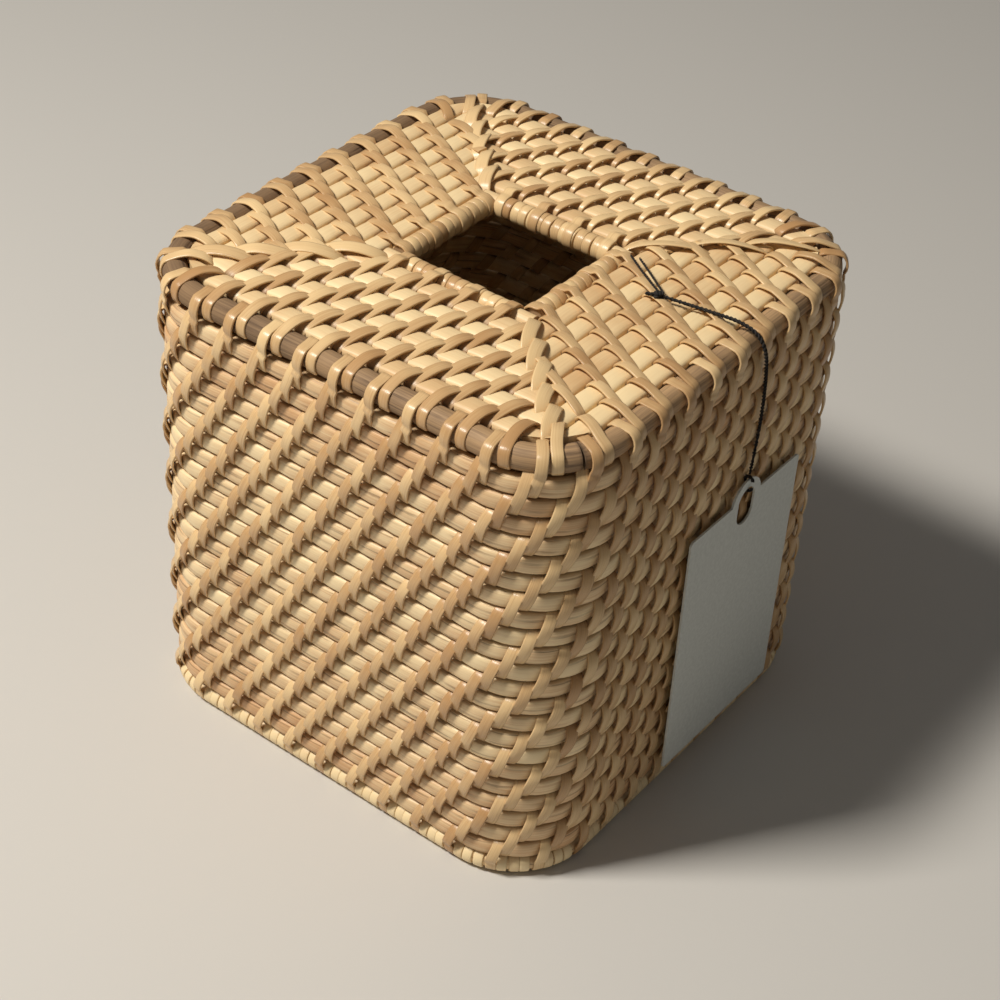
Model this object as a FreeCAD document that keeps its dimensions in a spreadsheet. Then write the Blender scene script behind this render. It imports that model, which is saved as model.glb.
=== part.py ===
import FreeCAD, Part
import math
import os
import Sketcher

# Woven rattan cover for a cube of tissues, in millimetres. It is open at the bottom and has an opening
# in its top. The origin is the middle of the bottom rim, +Z is up, -Y is the front wall, and a card tag
# hangs on the right wall, at +X. Rods run round the walls and along the top, and flat strips of peel
# cross them.

SIZES = [
    ("cover_width", 146.0, "width and depth over the strips"),
    ("cover_height", 144.0, "height over the strips"),
    ("corner_radius", 26.0, "outer radius of the upright corners, over the strips"),
    ("strip_width", 3.2, "width of a peel strip"),
    ("strip_thickness", 0.8, "thickness of a peel strip"),
    ("strip_gap", 0.1, "room between strips and rods"),
    ("strip_foot", 1.0, "height at which the strips end on the bottom rim"),
    ("strips_per_side", 24, "strips on each flat side"),
    ("strips_per_corner", 9, "strips round each upright corner"),
    ("corner_tail", 6.5, "reach of a corner strip over the top edge"),
    ("wall_rod_count", 22, "rods in the walls between the bottom rim and the top edge"),
    ("wall_rod_thickness", 3.4, "thickness of a wall rod"),
    ("wall_rod_edge", 1.8, "thickness of a wall rod at its upper and lower edge"),
    ("wall_rod_gap", 1.0, "gap between neighbouring rods in the walls"),
    ("rim_rod_thickness", 4.6, "thickness of the bottom rim rod"),
    ("rim_rod_edge", 3.0, "thickness of the bottom rim rod at its upper and lower edge"),
    ("rim_rod_height", 6.0, "height of the bottom rim rod"),
    ("edge_rod_diameter", 7.0, "thickness of the cane round the top edge"),
    ("top_row_count", 6, "rods in each panel of the top"),
    ("top_rod_thickness", 3.4, "thickness of a rod in the top"),
    ("top_rod_edge", 1.8, "thickness of a rod in the top at its long edges"),
    ("top_row_gap", 0.8, "gap between neighbouring rods in the top"),
    ("mitre_gap", 0.3, "room at each end of a rod in the top"),
    ("opening_width", 38.0, "clear width of the opening, along X"),
    ("opening_depth", 36.0, "clear depth of the opening, along Y"),
    ("opening_bar", 5.0, "thickness of a rod round the opening"),
    ("wrap_thickness", 0.7, "thickness of the band wound round an opening rod"),
    ("wrap_count", 12, "turns of that band"),
    ("wrap_spacing", 0.6, "gap between neighbouring turns"),
    ("lashing_links", 5, "strips in the chain along each diagonal"),
    ("lashing_width", 3.0, "width of those strips"),
    ("lashing_spacing", 0.4, "gap between them"),
    ("tag_width", 54.0, "width of the card tag"),
    ("tag_height", 81.0, "height of the card below its tab"),
    ("tag_thickness", 0.6, "thickness of the card"),
    ("tag_side", 12.0, "offset of the tag's middle line, along Y"),
    ("tag_base", 11.0, "height of the tag's lower edge"),
    ("tag_standoff", 1.7, "distance from the strips to the back of the card"),
    ("tab_radius", 7.0, "radius of the rounded tab"),
    ("tab_rise", 6.0, "height of the tab above the card"),
    ("tab_bridge", 2.8, "card left above the hole"),
    ("hole_width", 8.0, "width of the oval hole"),
    ("hole_height", 12.0, "height of the oval hole"),
    ("loop_cord", 1.0, "thickness of the cord in the loop through the hole"),
    ("loop_room", 0.4, "room inside the loop round the card"),
    ("cord_diameter", 1.1, "diameter of the doubled cord"),
    ("strand_diameter", 0.7, "diameter of a single strand"),
    ("knot_diameter", 2.2, "diameter of the knot at its middle"),
    ("knot_end", 1.3, "diameter of the knot at its ends"),
    ("knot_length", 2.6, "length of the knot along the cord"),
]

# The routes of the cord, from the knot over the top edge to the tag and from the knot to the weave.
KNOT_PLACE = (43.9, 6.2, 145.4)
CORD_ROUTE = [
    (45.4, 6.4, 145.3),
    (56.5, 8.8, 145.0),
    (69.4, 9.6, 145.8),
    (75.0, 10.3, 141.2),
    (74.9, 13.0, 129.0),
    (75.0, 13.6, 114.0),
    (75.0, 12.0, 99.8),
]
STRAND_ROUTES = [
    [(26.8, 18.4, 144.6), (34.7, 12.5, 145.0), (43.0, 7.4, 145.4)],
    [(29.4, 18.8, 144.6), (36.2, 13.9, 145.0), (43.7, 8.0, 145.5)],
]

SIDES = ["front", "right", "back", "left"]
CORNERS = ["front_right", "back_right", "back_left", "front_left"]
QUARTER = 90.0
BEND_FACETS = 6
BEND_SHARE = 0.45
TUBE_SIDES = 8
OCTAGON_FLAT = math.sqrt(2) - 1
OCTAGON_CUT = 1 - 1 / math.sqrt(2)
OFFSET_CUT = 2 - math.sqrt(2)
UP = FreeCAD.Vector(0, 0, 1)

doc = FreeCAD.newDocument("TissueBoxCover")
sheet = doc.addObject("Spreadsheet::Sheet", "sizes")
for row, (alias, value, meaning) in enumerate(SIZES, start=1):
    sheet.set(f"A{row}", alias)
    sheet.set(f"B{row}", str(value))
    sheet.setAlias(f"B{row}", alias)
    sheet.set(f"C{row}", meaning)
doc.recompute()
size = {alias: sheet.get(alias) for alias, value, meaning in SIZES}

nodes = []


def keep(item, label):
    """Registers a finished piece under the name of its file."""
    item.Label = label
    nodes.append(item)
    return item


def bind(item, **expressions):
    """Ties properties of an object to the sheet."""
    for name, expression in expressions.items():
        item.setExpression(name.replace("__", "."), expression)


# Rings: rods swept round a rounded square, whose bends are short straight facets.

def attached_sketch(body, name, role):
    sketch = body.newObject("Sketcher::SketchObject", name)
    plane = next(plane for plane in body.Origin.OriginFeatures if plane.Role == role)
    sketch.AttachmentSupport = (plane, [""])
    sketch.MapMode = "FlatFace"
    return sketch


def polygon(sketch, corners):
    """Draws a closed polygon, each corner tied to two expressions."""
    count = len(corners)
    rough = []
    for number in range(count):
        turn = math.tau * number / count
        rough.append(FreeCAD.Vector(math.cos(turn), math.sin(turn), 0))
    constraints = []
    for number in range(count):
        follower = (number + 1) % count
        sketch.addGeometry(Part.LineSegment(rough[number], rough[follower]))
        constraints.append(Sketcher.Constraint("Coincident", number, 2, follower, 1))
    for number, spot in enumerate(rough):
        constraints.append(Sketcher.Constraint("DistanceX", -1, 1, number, 1, spot.x))
        constraints.append(Sketcher.Constraint("DistanceY", -1, 1, number, 1, spot.y))
    sketch.addConstraint(constraints)
    for number, (side, rise) in enumerate(corners):
        sketch.setExpression(f"Constraints[{count + 2 * number}]", side)
        sketch.setExpression(f"Constraints[{count + 2 * number + 1}]", rise)


def bent_path(half, bend):
    """Corners of a square with faceted bends, from the middle of its right side round to it again."""
    corners = [(half, "0")]
    for number, (side, rise) in enumerate([(1, 1), (-1, 1), (-1, -1), (1, -1)]):
        for facet in range(BEND_FACETS + 1):
            turn = QUARTER * (number + facet / BEND_FACETS)
            corners.append((f"{side} * ({half} - {bend}) + {bend} * cos({turn} deg)",
                            f"{rise} * ({half} - {bend}) + {bend} * sin({turn} deg)"))
    return corners


def oval_section(thickness, edge, height):
    """Six corners of a flattened oval, with narrow upper and lower edges."""
    bulge = f"{thickness} / 2"
    lip = f"{edge} / 2"
    rise = f"{height} / 2"
    return [(bulge, "0"), (lip, rise), (f"-{lip}", rise),
            (f"-{bulge}", "0"), (f"-{lip}", f"-{rise}"), (lip, f"-{rise}")]


def octagon_section(diameter):
    face = f"{diameter} / 2"
    flat = f"{diameter} / 2 * {OCTAGON_FLAT}"
    return [(face, flat), (flat, face), (f"-{flat}", face), (f"-{face}", flat),
            (f"-{face}", f"-{flat}"), (f"-{flat}", f"-{face}"), (flat, f"-{face}"), (face, f"-{flat}")]


ROD_FACE = "(sizes.cover_width / 2 - sizes.strip_thickness - sizes.strip_gap)"
ROD_BEND = "(sizes.corner_radius - sizes.strip_thickness - sizes.strip_gap)"


def ring_rod(label, thickness, section, level):
    """A rod bent to a rounded square, whose outermost line lies just inside the strips."""
    half = f"({ROD_FACE} - {thickness} / 2)"
    body = doc.addObject("PartDesign::Body", label)
    path = attached_sketch(body, f"{label}_path", "XY_Plane")
    polygon(path, bent_path(half, f"({ROD_BEND} - {thickness} / 2)"))
    outline = attached_sketch(body, f"{label}_section", "XZ_Plane")
    polygon(outline, [(f"{half} + {across}", rise) for across, rise in section])
    sweep = body.newObject("PartDesign::AdditivePipe", f"{label}_sweep")
    sweep.Profile = outline
    sweep.Spine = (path, [])
    sweep.Transition = "Right corner"
    body.Tip = sweep
    body.setExpression("Placement.Base.z", level)
    return body


def copied_rod(label, pattern, level):
    body = doc.addObject("PartDesign::Body", label)
    copy = body.newObject("PartDesign::FeatureBase", f"{label}_copy")
    copy.BaseFeature = pattern
    body.Tip = copy
    body.setExpression("Placement.Base.z", level)
    return body


EDGE_TOP = "(sizes.cover_height - sizes.strip_thickness - sizes.strip_gap)"
EDGE_BASE = f"({EDGE_TOP} - sizes.edge_rod_diameter)"
WALL_ROOM = f"({EDGE_BASE} - sizes.rim_rod_height)"
WALL_PITCH = f"(({WALL_ROOM} - sizes.wall_rod_gap) / sizes.wall_rod_count)"
WALL_ROD_HEIGHT = f"({WALL_PITCH} - sizes.wall_rod_gap)"

rim_section = oval_section("sizes.rim_rod_thickness", "sizes.rim_rod_edge", "sizes.rim_rod_height")
rim_rod = ring_rod("bottom_rim_rod", "sizes.rim_rod_thickness", rim_section, "sizes.rim_rod_height / 2")
keep(rim_rod, "bottom_rim_rod")

wall_section = oval_section("sizes.wall_rod_thickness", "sizes.wall_rod_edge", WALL_ROD_HEIGHT)
wall_pattern = ring_rod("wall_rod_pattern", "sizes.wall_rod_thickness", wall_section, "0")
for number in range(1, int(size["wall_rod_count"]) + 1):
    wall_level = f"sizes.rim_rod_height + {number} * {WALL_PITCH} - {WALL_ROD_HEIGHT} / 2"
    wall_rod = copied_rod(f"wall_rod_{number:02d}", wall_pattern, wall_level)
    keep(wall_rod, f"wall_rod_{number:02d}")

edge_section = octagon_section("sizes.edge_rod_diameter")
edge_rod = ring_rod("top_edge_rod", "sizes.edge_rod_diameter", edge_section,
                    f"{EDGE_BASE} + sizes.edge_rod_diameter / 2")
keep(edge_rod, "top_edge_rod")


# Top panels: straight rods, mitred at the diagonals, from the opening's rim out to the top edge rod.

WRAP = "(sizes.wrap_thickness + sizes.strip_gap)"
RIM_OUT = f"(2 * {WRAP} + sizes.opening_bar)"
EDGE_IN = "(sizes.cover_width / 2 - sizes.strip_thickness - sizes.strip_gap - sizes.edge_rod_diameter)"
BEND_CENTRE = "(sizes.cover_width / 2 - sizes.corner_radius)"
BEND_IN = f"({EDGE_IN} - {BEND_CENTRE} - sizes.mitre_gap)"
TOP_MIDDLE = f"({EDGE_TOP} - sizes.top_rod_thickness / 2)"


def panel_rods(label, along, across, angle):
    """The rods of one panel, whose opening measures along by across, turned to its side."""
    rim_along = f"({along} / 2 + {RIM_OUT})"
    rim_across = f"({across} / 2 + {RIM_OUT})"
    pitch = f"(({EDGE_IN} - {rim_across}) / sizes.top_row_count)"
    slope = f"(({EDGE_IN} - {rim_along}) / ({EDGE_IN} - {rim_across}))"

    def half_length(reach):
        mitre = f"{rim_along} + ({reach} - {rim_across}) * {slope} - sizes.mitre_gap"
        bend = f"{BEND_CENTRE} + sqrt({BEND_IN} ^ 2 - max(0; {reach} - {BEND_CENTRE}) ^ 2)"
        return f"min({mitre}; {bend})"

    def half_rod(name, far, near, far_thickness, near_thickness):
        half = doc.addObject("Part::Wedge", name)
        bind(half, Ymin=f"-{far}", Ymax=f"-{near}",
             Xmin=f"-({half_length(far)})", Xmax=half_length(far),
             X2min=f"-({half_length(near)})", X2max=half_length(near),
             Zmin=f"{TOP_MIDDLE} - {far_thickness} / 2", Zmax=f"{TOP_MIDDLE} + {far_thickness} / 2",
             Z2min=f"{TOP_MIDDLE} - {near_thickness} / 2", Z2max=f"{TOP_MIDDLE} + {near_thickness} / 2")
        return half

    rods = []
    for number in range(int(size["top_row_count"])):
        inner = f"({rim_across} + {number} * {pitch} + sizes.top_row_gap / 2)"
        outer = f"({rim_across} + {number + 1} * {pitch} - sizes.top_row_gap / 2)"
        crown = f"(({inner} + {outer}) / 2)"
        rod = doc.addObject("Part::Fuse", f"{label}_{number + 1}")
        rod.Base = half_rod(f"{rod.Name}_outer", outer, crown, "sizes.top_rod_edge", "sizes.top_rod_thickness")
        rod.Tool = half_rod(f"{rod.Name}_inner", crown, inner, "sizes.top_rod_thickness", "sizes.top_rod_edge")
        rods.append(rod)
    panel = doc.addObject("Part::Compound", label)
    panel.Links = rods
    panel.Placement.Rotation = FreeCAD.Rotation(UP, angle)
    keep(panel, label)


for number, side in enumerate(SIDES):
    spans = ("sizes.opening_width", "sizes.opening_depth")
    if number % 2:
        spans = ("sizes.opening_depth", "sizes.opening_width")
    panel_rods(f"top_rods_{side}", spans[0], spans[1], number * QUARTER)


# Opening: four rods, the front and back ones run through and the side ones butt against them.

BAR_MIDDLE = f"sizes.cover_height - {WRAP} - sizes.opening_bar / 2"


def opening_rod(label, plane, length, **place):
    """A straight rod with eight flat sides, square to one of the upright origin planes."""
    body = doc.addObject("PartDesign::Body", label)
    outline = attached_sketch(body, f"{label}_section", plane)
    polygon(outline, octagon_section("sizes.opening_bar"))
    rod = body.newObject("PartDesign::Pad", f"{label}_pad")
    rod.Profile = outline
    rod.Midplane = True
    rod.setExpression("Length", length)
    body.Tip = rod
    bind(body, Placement__Base__z=BAR_MIDDLE, **place)
    keep(body, label)


for side, sign in (("front", "-"), ("back", "")):
    opening_rod(f"opening_rod_{side}", "YZ_Plane", f"sizes.opening_width + 2 * ({WRAP} + sizes.opening_bar)",
                Placement__Base__y=f"{sign}(sizes.opening_depth / 2 + {WRAP} + sizes.opening_bar / 2)")
for side, sign in (("left", "-"), ("right", "")):
    opening_rod(f"opening_rod_{side}", "XZ_Plane",
                f"sizes.opening_depth + 2 * {WRAP} - 2 * sizes.mitre_gap",
                Placement__Base__x=f"{sign}(sizes.opening_width / 2 + {WRAP} + sizes.opening_bar / 2)")

wrap = size["wrap_thickness"] + size["strip_gap"]
rim_out = 2 * wrap + size["opening_bar"]


def winding(along, across):
    """A band wound round the rod in front of an opening that measures along by across."""
    skin = size["wrap_thickness"]
    band = size["opening_bar"] + 2 * wrap
    step = along / size["wrap_count"]
    length = step - size["wrap_spacing"]
    inner = -across / 2
    outer = inner - band
    top = size["cover_height"]
    base = top - band
    room_cut = size["opening_bar"] * OCTAGON_CUT + size["strip_gap"] * OFFSET_CUT
    arch_cut = room_cut + skin * OFFSET_CUT
    arch_outline = [
        (outer, base + skin),
        (outer, top - arch_cut),
        (outer + arch_cut, top),
        (inner - arch_cut, top),
        (inner, top - arch_cut),
        (inner, base + skin),
        (inner - skin, base + skin),
        (inner - skin, top - skin - room_cut),
        (inner - skin - room_cut, top - skin),
        (outer + skin + room_cut, top - skin),
        (outer + skin, top - skin - room_cut),
        (outer + skin, base + skin),
    ]
    arches = []
    crossings = []
    for number in range(int(size["wrap_count"])):
        left = number * step + (size["wrap_spacing"] - along) / 2
        points = [FreeCAD.Vector(left, *spot) for spot in arch_outline]
        arch = Part.Face(Part.makePolygon(points + points[:1]))
        arches.append(arch.extrude(FreeCAD.Vector(length, 0, 0)))
        following = left + step
        outline = [
            (left, inner),
            (left + length, inner),
            (left + length, inner - skin),
            (following + length, outer + skin),
            (following + length, outer),
            (following, outer),
            (following, outer + skin),
            (left, inner - skin),
        ]
        points = [FreeCAD.Vector(*spot, base) for spot in outline]
        crossing = Part.Face(Part.makePolygon(points + points[:1]))
        crossings.append(crossing.extrude(FreeCAD.Vector(0, 0, skin)))
    print("least gap in a winding", round(crossings[0].distToShape(crossings[1])[0], 2))
    turns = arches[0].multiFuse(arches[1:] + crossings[:-1])
    return turns.removeSplitter().Solids[0]


def turned_feature(label, shape, angle):
    """A piece whose shape is worked out from the sheet, turned about the upright axis."""
    feature = doc.addObject("Part::Feature", label)
    feature.Shape = shape
    feature.Placement = FreeCAD.Placement(FreeCAD.Vector(), FreeCAD.Rotation(UP, angle))
    return keep(feature, label)


for number, side in enumerate(SIDES):
    spans = (size["opening_width"], size["opening_depth"])
    if number % 2:
        spans = (size["opening_depth"], size["opening_width"])
    turned_feature(f"opening_wraps_{side}", winding(*spans), number * QUARTER)


# Peel strips: each one lies on the top rods, folds over the top edge rod and runs down the wall.

edge_cut = size["edge_rod_diameter"] * OCTAGON_CUT
inner_cut = edge_cut + size["strip_gap"] * OFFSET_CUT
outer_cut = inner_cut + size["strip_thickness"] * OFFSET_CUT


def strip(offset, face, tail):
    """One strip in front of the upright axis, from tail to face, folded down at the face."""
    top = size["cover_height"]
    skin = size["strip_thickness"]
    foot = size["strip_foot"]
    outline = [
        (face, foot),
        (face, top - outer_cut),
        (face - outer_cut, top),
        (tail, top),
        (tail, top - skin),
        (face - skin - inner_cut, top - skin),
        (face - skin, top - skin - inner_cut),
        (face - skin, foot),
    ]
    left = offset - size["strip_width"] / 2
    points = [FreeCAD.Vector(left, -reach, level) for reach, level in outline]
    profile = Part.Face(Part.makePolygon(points + points[:1]))
    return profile.extrude(FreeCAD.Vector(size["strip_width"], 0, 0))


half_width = size["cover_width"] / 2
bend_centre = half_width - size["corner_radius"]
edge_in = half_width - size["strip_thickness"] - size["strip_gap"] - size["edge_rod_diameter"]


def side_strips(along, across):
    """The strips of one side, those beside the opening end at its rim, the rest at the diagonals."""
    count = int(size["strips_per_side"])
    step = 2 * bend_centre / count
    rim_along = along / 2 + rim_out
    rim_across = across / 2 + rim_out
    slope = (edge_in - rim_across) / (edge_in - rim_along)
    lashing_room = (size["lashing_width"] / 2) * math.hypot(1, slope) + size["mitre_gap"]
    strips = []
    for number in range(count):
        offset = (number + 0.5) * step - bend_centre
        edge = abs(offset) + size["strip_width"] / 2
        at_mitre = rim_across + (edge - rim_along) * slope + lashing_room
        tail = max(rim_across + size["mitre_gap"], at_mitre)
        strips.append(strip(offset, half_width, tail))
    return Part.makeCompound(strips)


def corner_strips():
    """The strips round the front right corner, fanned about the middle of its bend."""
    count = int(size["strips_per_corner"])
    strips = []
    for number in range(count):
        piece = strip(0, size["corner_radius"], size["corner_radius"] - size["corner_tail"])
        piece.rotate(FreeCAD.Vector(), UP, (number + 0.5) * QUARTER / count)
        piece.translate(FreeCAD.Vector(bend_centre, -bend_centre, 0))
        strips.append(piece)
    return Part.makeCompound(strips)


for number, side in enumerate(SIDES):
    spans = (size["opening_width"], size["opening_depth"])
    if number % 2:
        spans = (size["opening_depth"], size["opening_width"])
    turned_feature(f"strips_{side}", side_strips(*spans), number * QUARTER)
for number, corner in enumerate(CORNERS):
    turned_feature(f"corner_strips_{corner}", corner_strips(), number * QUARTER)


# Diagonal lashings: a chain of short strips along each mitre, from the opening to the edge rod.

def lashing(along, across):
    """The chain on the front right diagonal of an opening that measures along by across."""
    start = FreeCAD.Vector(along / 2 + rim_out, -across / 2 - rim_out, 0)
    reach = (edge_in - bend_centre - size["mitre_gap"]) / math.sqrt(2)
    end = FreeCAD.Vector(bend_centre + reach, -bend_centre - reach, 0)
    run = end - start
    step = run.Length / size["lashing_links"]
    low = size["cover_height"] - size["strip_thickness"]
    links = []
    for number in range(int(size["lashing_links"])):
        link = Part.makeBox(step - size["lashing_spacing"], size["lashing_width"], size["strip_thickness"],
                            FreeCAD.Vector(number * step + size["lashing_spacing"],
                                           -size["lashing_width"] / 2, low))
        link.rotate(FreeCAD.Vector(), UP, math.degrees(math.atan2(run.y, run.x)))
        link.translate(start)
        links.append(link)
    return Part.makeCompound(links)


for number, corner in enumerate(CORNERS):
    spans = (size["opening_width"], size["opening_depth"])
    if number % 2:
        spans = (size["opening_depth"], size["opening_width"])
    turned_feature(f"lashing_{corner}", lashing(*spans), number * QUARTER)


# Tag: a card with a rounded tab and an oval hole, and the loop of cord through the hole.

CARD_BACK = "(sizes.cover_width / 2 + sizes.tag_standoff)"
CARD_TOP = "(sizes.tag_base + sizes.tag_height)"
TAB_TOP = f"({CARD_TOP} + sizes.tab_rise)"
HOLE_TOP = f"({TAB_TOP} - sizes.tab_bridge)"
HOLE_RADIUS = "(sizes.hole_width / 2)"


def card_disc(name, radius, height_of_centre):
    disc = doc.addObject("Part::Cylinder", name)
    bind(disc, Radius=radius, Height="sizes.tag_thickness",
         Placement__Base__x=CARD_BACK, Placement__Base__y="sizes.tag_side",
         Placement__Base__z=height_of_centre)
    disc.Placement.Rotation = FreeCAD.Rotation(FreeCAD.Vector(0, 1, 0), QUARTER)
    return disc


def card_plate(name, width, height, base):
    plate = doc.addObject("Part::Box", name)
    bind(plate, Length="sizes.tag_thickness", Width=width, Height=height,
         Placement__Base__x=CARD_BACK, Placement__Base__y=f"sizes.tag_side - ({width}) / 2",
         Placement__Base__z=base)
    return plate


card = card_plate("card", "sizes.tag_width", "sizes.tag_height", "sizes.tag_base")
tab = card_disc("tab", "sizes.tab_radius", f"{TAB_TOP} - sizes.tab_radius")
blank = doc.addObject("Part::MultiFuse", "card_blank")
blank.Shapes = [card, tab]
blank.Refine = True
hole = doc.addObject("Part::MultiFuse", "card_hole")
hole.Shapes = [
    card_disc("hole_upper", HOLE_RADIUS, f"{HOLE_TOP} - {HOLE_RADIUS}"),
    card_disc("hole_lower", HOLE_RADIUS, f"{HOLE_TOP} - sizes.hole_height + {HOLE_RADIUS}"),
    card_plate("hole_middle", "sizes.hole_width", "(sizes.hole_height - sizes.hole_width)",
               f"{HOLE_TOP} - sizes.hole_height + {HOLE_RADIUS}"),
]
tag = doc.addObject("Part::Cut", "tag")
tag.Base = blank
tag.Tool = hole
keep(tag, "tag")


def slot(sketch, radius, rise):
    """Draws an upright slot, tied to the radius of its round ends and the height of their centres."""
    rough_radius = 5.0
    rough_rise = 10.0
    first = sketch.GeometryCount
    half_turn = math.pi
    for side in (1, -1):
        foot = FreeCAD.Vector(side * rough_radius, -side * rough_rise, 0)
        head = FreeCAD.Vector(side * rough_radius, side * rough_rise, 0)
        circle = Part.Circle(FreeCAD.Vector(0, side * rough_rise, 0), UP, rough_radius)
        begin = 0 if side == 1 else half_turn
        sketch.addGeometry(Part.LineSegment(foot, head))
        sketch.addGeometry(Part.ArcOfCircle(circle, begin, begin + half_turn))
    right, head, left, foot = range(first, first + 4)
    for before, after in ((right, head), (head, left), (left, foot), (foot, right)):
        sketch.addConstraint(Sketcher.Constraint("Tangent", before, 2, after, 1))
    sketch.addConstraint(Sketcher.Constraint("Equal", head, foot))
    sketch.addConstraint(Sketcher.Constraint("Vertical", right))
    drivers = [
        (Sketcher.Constraint("DistanceX", -1, 1, right, 1, rough_radius), radius),
        (Sketcher.Constraint("Radius", head, rough_radius), radius),
        (Sketcher.Constraint("DistanceY", -1, 1, head, 3, rough_rise), rise),
        (Sketcher.Constraint("DistanceY", foot, 3, -1, 1, rough_rise), rise),
    ]
    for constraint, expression in drivers:
        index = sketch.addConstraint(constraint)
        sketch.setExpression(f"Constraints[{index}]", expression)


LOOP_BORE = "(sizes.tag_thickness / 2 + sizes.loop_room)"
LOOP_RISE = f"(sizes.tab_bridge / 2 + sizes.loop_room - {LOOP_BORE})"
loop = doc.addObject("PartDesign::Body", "tag_loop")
loop_outline = attached_sketch(loop, "tag_loop_outline", "XZ_Plane")
slot(loop_outline, LOOP_BORE, LOOP_RISE)
slot(loop_outline, f"{LOOP_BORE} + sizes.loop_cord", LOOP_RISE)
loop_pad = loop.newObject("PartDesign::Pad", "tag_loop_pad")
loop_pad.Profile = loop_outline
loop_pad.Midplane = True
loop_pad.setExpression("Length", "sizes.loop_cord")
loop.Tip = loop_pad
bind(loop, Placement__Base__x=f"{CARD_BACK} + sizes.tag_thickness / 2", Placement__Base__y="sizes.tag_side",
     Placement__Base__z=f"{TAB_TOP} - sizes.tab_bridge / 2")
keep(loop, "tag_loop")


# Cord: tubes with eight flat sides along straight runs joined by tangent arcs, as large as the runs allow.

def tube_section(diameter, place, direction):
    """A regular octagon as large as a circle of the diameter, square to a direction."""
    side_turn = math.tau / TUBE_SIDES
    reach = diameter / 2 * math.sqrt(side_turn / math.sin(side_turn))
    turn = FreeCAD.Rotation(UP, direction)
    corners = []
    for number in range(TUBE_SIDES + 1):
        angle = side_turn * number
        corners.append(place + turn.multVec(FreeCAD.Vector(reach * math.cos(angle), reach * math.sin(angle), 0)))
    return Part.makePolygon(corners)


def tube(label, route, diameter):
    points = [FreeCAD.Vector(*point) for point in route]
    edges = []
    radii = []
    start = points[0]
    for before, corner, after in zip(points, points[1:], points[2:]):
        arriving = corner - before
        leaving = after - corner
        turn = arriving.getAngle(leaving)
        cut = BEND_SHARE * min(arriving.Length, leaving.Length)
        first = corner - FreeCAD.Vector(arriving).normalize() * cut
        last = corner + FreeCAD.Vector(leaving).normalize() * cut
        radius = cut / math.tan(turn / 2)
        inward = (first + last) * 0.5 - corner
        depth = radius / math.cos(turn / 2) - radius
        middle = corner + inward.normalize() * depth
        edges.append(Part.LineSegment(start, first).toShape())
        edges.append(Part.Arc(first, middle, last).toShape())
        radii.append(radius)
        start = last
    edges.append(Part.LineSegment(start, points[-1]).toShape())
    path = Part.Wire(edges)
    section = tube_section(diameter, points[0], points[1] - points[0])
    solid = path.makePipeShell([section], True, False)
    feature = doc.addObject("Part::Feature", label)
    feature.Shape = solid
    keep(feature, label)
    expected = math.pi * diameter ** 2 / 4 * path.Length
    print(label, "length", round(path.Length, 1), "least radius", round(min(radii), 1),
          "volume", round(solid.Volume, 1), "section times length", round(expected, 1))


tube("tag_cord", CORD_ROUTE, size["cord_diameter"])
for number, route in enumerate(STRAND_ROUTES, start=1):
    tube(f"cord_strand_{number}", route, size["strand_diameter"])


def half_knot(name, direction):
    cone = doc.addObject("Part::Cone", name)
    bind(cone, Radius1="sizes.knot_diameter / 2", Radius2="sizes.knot_end / 2",
         Height="sizes.knot_length / 2")
    cone.Placement = FreeCAD.Placement(FreeCAD.Vector(*KNOT_PLACE), FreeCAD.Rotation(UP, direction))
    return cone


cord_start = FreeCAD.Vector(*CORD_ROUTE[0]) - FreeCAD.Vector(*KNOT_PLACE)
knot = doc.addObject("Part::Fuse", "cord_knot")
knot.Base = half_knot("knot_cord_end", cord_start)
knot.Tool = half_knot("knot_strand_end", cord_start * -1)
keep(knot, "cord_knot")


# Every object has to be sound before any piece is written.

doc.recompute()
for item in doc.Objects:
    if "Invalid" in item.State or "Error" in item.State:
        raise RuntimeError(f"{item.Label} failed: {item.State}")
for item in nodes:
    if item.Shape.isNull() or not item.Shape.isValid():
        raise RuntimeError(f"{item.Label} has no sound shape")

os.makedirs("parts", exist_ok=True)
for item in nodes:
    item.Shape.exportStep(f"parts/{item.Label}.step")
print(len(nodes), "pieces written")
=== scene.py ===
import math
import random

import bmesh
import bpy
from mathutils import Matrix, Vector


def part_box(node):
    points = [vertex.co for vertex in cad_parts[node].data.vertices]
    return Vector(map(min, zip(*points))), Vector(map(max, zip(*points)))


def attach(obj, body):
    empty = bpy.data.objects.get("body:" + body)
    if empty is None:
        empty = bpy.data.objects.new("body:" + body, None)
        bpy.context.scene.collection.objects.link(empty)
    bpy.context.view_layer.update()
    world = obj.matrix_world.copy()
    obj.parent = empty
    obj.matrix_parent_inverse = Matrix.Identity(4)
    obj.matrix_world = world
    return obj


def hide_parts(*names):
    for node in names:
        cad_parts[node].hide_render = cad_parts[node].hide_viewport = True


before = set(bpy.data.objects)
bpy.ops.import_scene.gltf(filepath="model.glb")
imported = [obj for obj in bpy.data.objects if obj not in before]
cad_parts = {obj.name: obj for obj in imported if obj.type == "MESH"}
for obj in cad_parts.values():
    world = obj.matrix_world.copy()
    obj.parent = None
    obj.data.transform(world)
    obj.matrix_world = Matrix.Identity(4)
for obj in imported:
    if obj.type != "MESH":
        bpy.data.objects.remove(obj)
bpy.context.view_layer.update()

# Studio: a pale floor, one lamp high on the left and a weak fill from the sky.
# The camera stands where the photographer held theirs, tilted a little to one side.

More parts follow.
